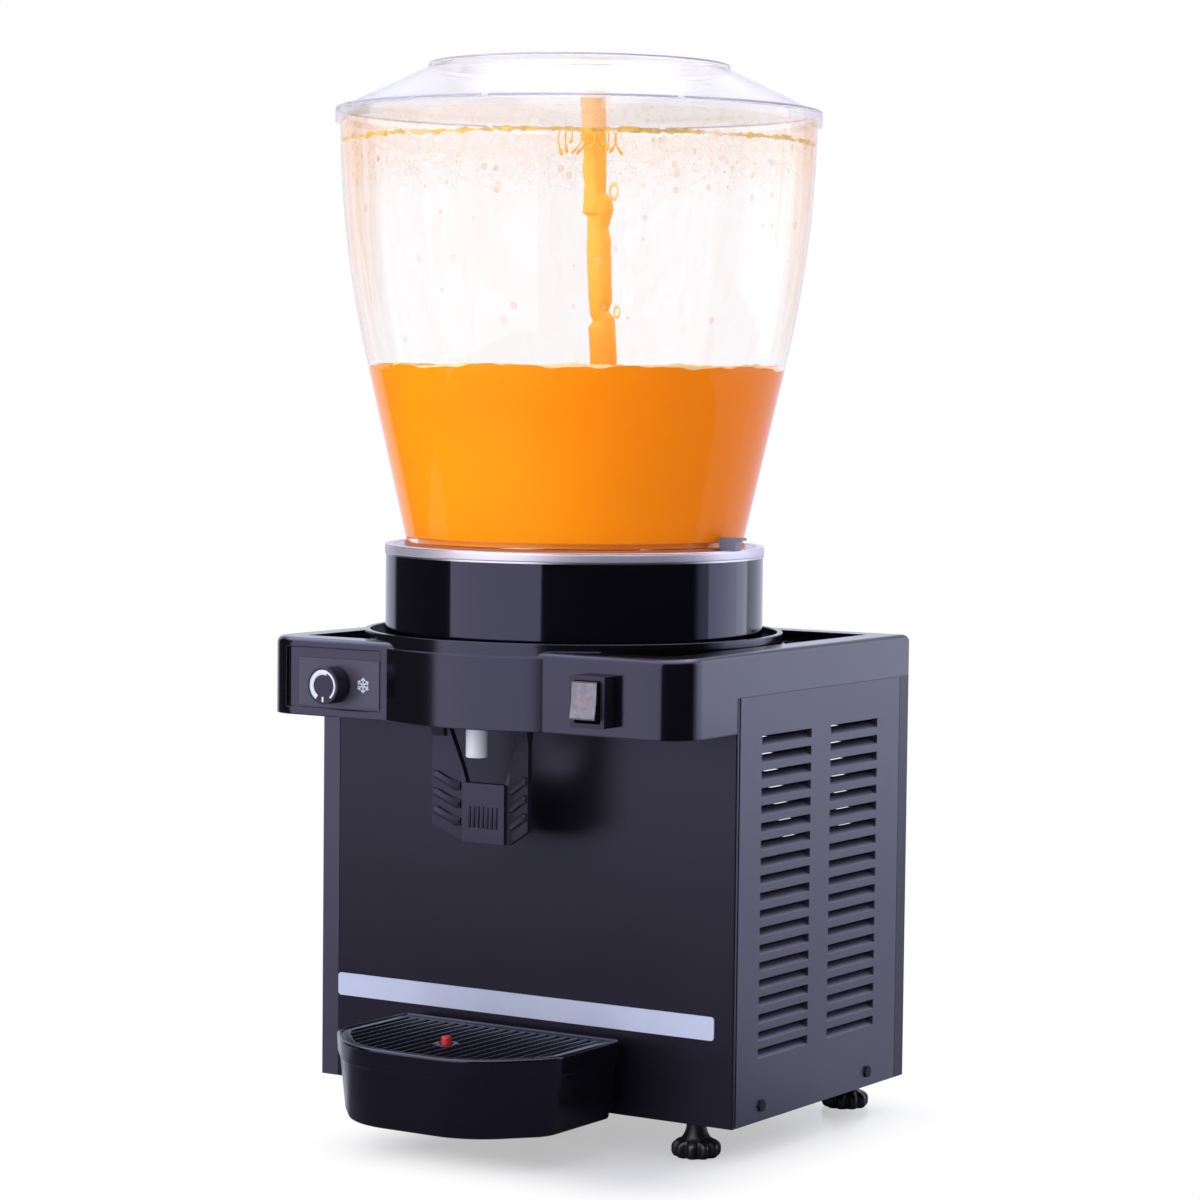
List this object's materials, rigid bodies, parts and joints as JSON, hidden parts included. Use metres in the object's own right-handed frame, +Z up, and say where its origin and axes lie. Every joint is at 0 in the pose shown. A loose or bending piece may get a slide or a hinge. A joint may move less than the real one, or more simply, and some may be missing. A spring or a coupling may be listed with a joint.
{
  "type": "cold drink dispenser",
  "caption": "Countertop cold drink dispenser: flared clear bowl with lid on a chilled plate, louvred black cabinet, push lever tap with white spout, slotted drip tray and levelling feet.",
  "frame": {"origin": "on the counter, under the middle of the cabinet's footprint, in the plane that the feet stand on", "axes": "+Z up; -Y is the front with the tap and drip tray; +X to the right seen from the front"},
  "size_m": [0.2928, 0.3255, 0.629],
  "materials": {
    "panel_steel": "satin black powder coat",
    "black_plastic": "gloss black moulding",
    "dark_plastic": "matt black moulding",
    "strip": "smooth light trim",
    "control_plate": "gloss black plate",
    "rocker": "light grey",
    "stainless": "brushed",
    "clear": "clear polycarbonate",
    "lug": "grey",
    "white_plastic": "white",
    "red": "red",
    "rubber": "matt",
    "foam": "foam",
    "steel": "plain steel",
    "zinc": "zinc plated",
    "copper": "copper tube",
    "aluminium": "mill finish",
    "screw": "blackened"
  },
  "bodies": {
    "cabinet": {"base_pan": "zinc", "front_panel": "panel_steel", "left_side_panel": "panel_steel", "right_side_panel": "panel_steel", "rear_panel": "panel_steel", "panel_screws": "screw", "cable_gland": "dark_plastic", "top_housing": "black_plastic", "control_plate": "control_plate", "thermostat": "dark_plastic", "switch_body": "dark_plastic", "front_strip": "strip", "tank_shroud": "black_plastic", "tank_insulation": "foam", "cold_plate": "stainless", "evaporator_coil": "copper", "bowl_gasket": "rubber", "pump_cover": "white_plastic", "pump_motor": "steel", "motor_plate": "zinc", "tap_body": "dark_plastic", "spout": "white_plastic", "tap_spring": "steel", "lever_pin": "steel", "tray_bracket": "panel_steel", "compressor": "panel_steel", "compressor_mounts": "rubber", "start_relay": "dark_plastic", "condenser": "aluminium", "fan_shroud": "zinc", "fan_motor": "steel", "filter_drier": "copper", "suction_line": "copper", "discharge_line": "copper"},
    "knob": {"thermostat_knob": "black_plastic", "thermostat_spindle": "steel"},
    "rocker": {"switch_rocker": "rocker"},
    "lever": {"tap_lever": "dark_plastic"},
    "plunger": {"tap_plunger": "white_plastic"},
    "tray": {"drip_tray": "dark_plastic"},
    "grille": {"drip_grille": "dark_plastic"},
    "float": {"level_float": "red"},
    "bowl": {"bowl": "clear", "bowl_lugs": "lug"},
    "lid": {"lid": "clear"},
    "drive": {"drive_magnet": "steel"},
    "impeller": {"impeller": "white_plastic"},
    "fan": {"fan_blade": "aluminium"},
    "foot_fl": {"foot_front_left": "rubber"},
    "foot_fr": {"foot_front_right": "rubber"},
    "foot_rl": {"foot_rear_left": "rubber"},
    "foot_rr": {"foot_rear_right": "rubber"}
  },
  "joints": [
    {"name": "knob_turn", "type": "hinge", "parent": "cabinet", "child": "knob", "pos_m": [-0.092, -0.162, 0.265], "axis": [0, 1, 0], "range_deg": [0, 290]},
    {"name": "rocker_tilt", "type": "hinge", "parent": "cabinet", "child": "rocker", "pos_m": [0.09, -0.167, 0.266], "axis": [1, 0, 0], "range_deg": [0, 12]},
    {"name": "lever_push", "type": "hinge", "parent": "cabinet", "child": "lever", "pos_m": [0, -0.161, 0.266], "axis": [1, 0, 0], "range_deg": [0, 18], "stiffness_Nm_per_rad": 0.4, "springref_deg": -14.32},
    {"name": "plunger_lift", "type": "slide", "parent": "cabinet", "child": "plunger", "axis": [0, 0, 1], "range_m": [0, 0.0052], "deforming": ["tap_spring"]},
    {"name": "tray_pull", "type": "slide", "parent": "cabinet", "child": "tray", "axis": [0, -1, 0], "range_m": [0, 0.13]},
    {"name": "grille_lift", "type": "slide", "parent": "tray", "child": "grille", "axis": [0, 0, 1], "range_m": [0, 0.05]},
    {"name": "float_rise", "type": "slide", "parent": "tray", "child": "float", "axis": [0, 0, 1], "range_m": [0, 0.012]},
    {"name": "bowl_lift", "type": "slide", "parent": "cabinet", "child": "bowl", "axis": [0, 0, 1], "range_m": [0, 0.12]},
    {"name": "lid_lift", "type": "slide", "parent": "bowl", "child": "lid", "axis": [0, 0, 1], "range_m": [0, 0.1]},
    {"name": "drive_spin", "type": "hinge", "parent": "cabinet", "child": "drive", "pos_m": [0, -0.02, 0.338], "axis": [0, 0, 1], "continuous": true},
    {"name": "impeller_spin", "type": "hinge", "parent": "cabinet", "child": "impeller", "pos_m": [0, -0.02, 0.35], "axis": [0, 0, 1], "continuous": true},
    {"name": "fan_spin", "type": "hinge", "parent": "cabinet", "child": "fan", "pos_m": [0.079, -0.008, 0.0982], "axis": [1, 0, 0], "continuous": true},
    {"name": "foot_turn_fl", "type": "hinge", "parent": "cabinet", "child": "foot_fl", "pos_m": [-0.113, -0.088, 0.01], "axis": [0, 0, 1], "range_deg": [0, 720]},
    {"name": "foot_turn_fr", "type": "hinge", "parent": "cabinet", "child": "foot_fr", "pos_m": [0.113, -0.088, 0.01], "axis": [0, 0, 1], "range_deg": [0, 720]},
    {"name": "foot_turn_rl", "type": "hinge", "parent": "cabinet", "child": "foot_rl", "pos_m": [-0.113, 0.088, 0.01], "axis": [0, 0, 1], "range_deg": [0, 720]},
    {"name": "foot_turn_rr", "type": "hinge", "parent": "cabinet", "child": "foot_rr", "pos_m": [0.113, 0.088, 0.01], "axis": [0, 0, 1], "range_deg": [0, 720]}
  ],
  "couplings": [
    {"joint": "plunger_lift", "follows": "lever_push", "m_per_rad": 0.016},
    {"joint": "impeller_spin", "follows": "drive_spin", "ratio": 1}
  ]
}
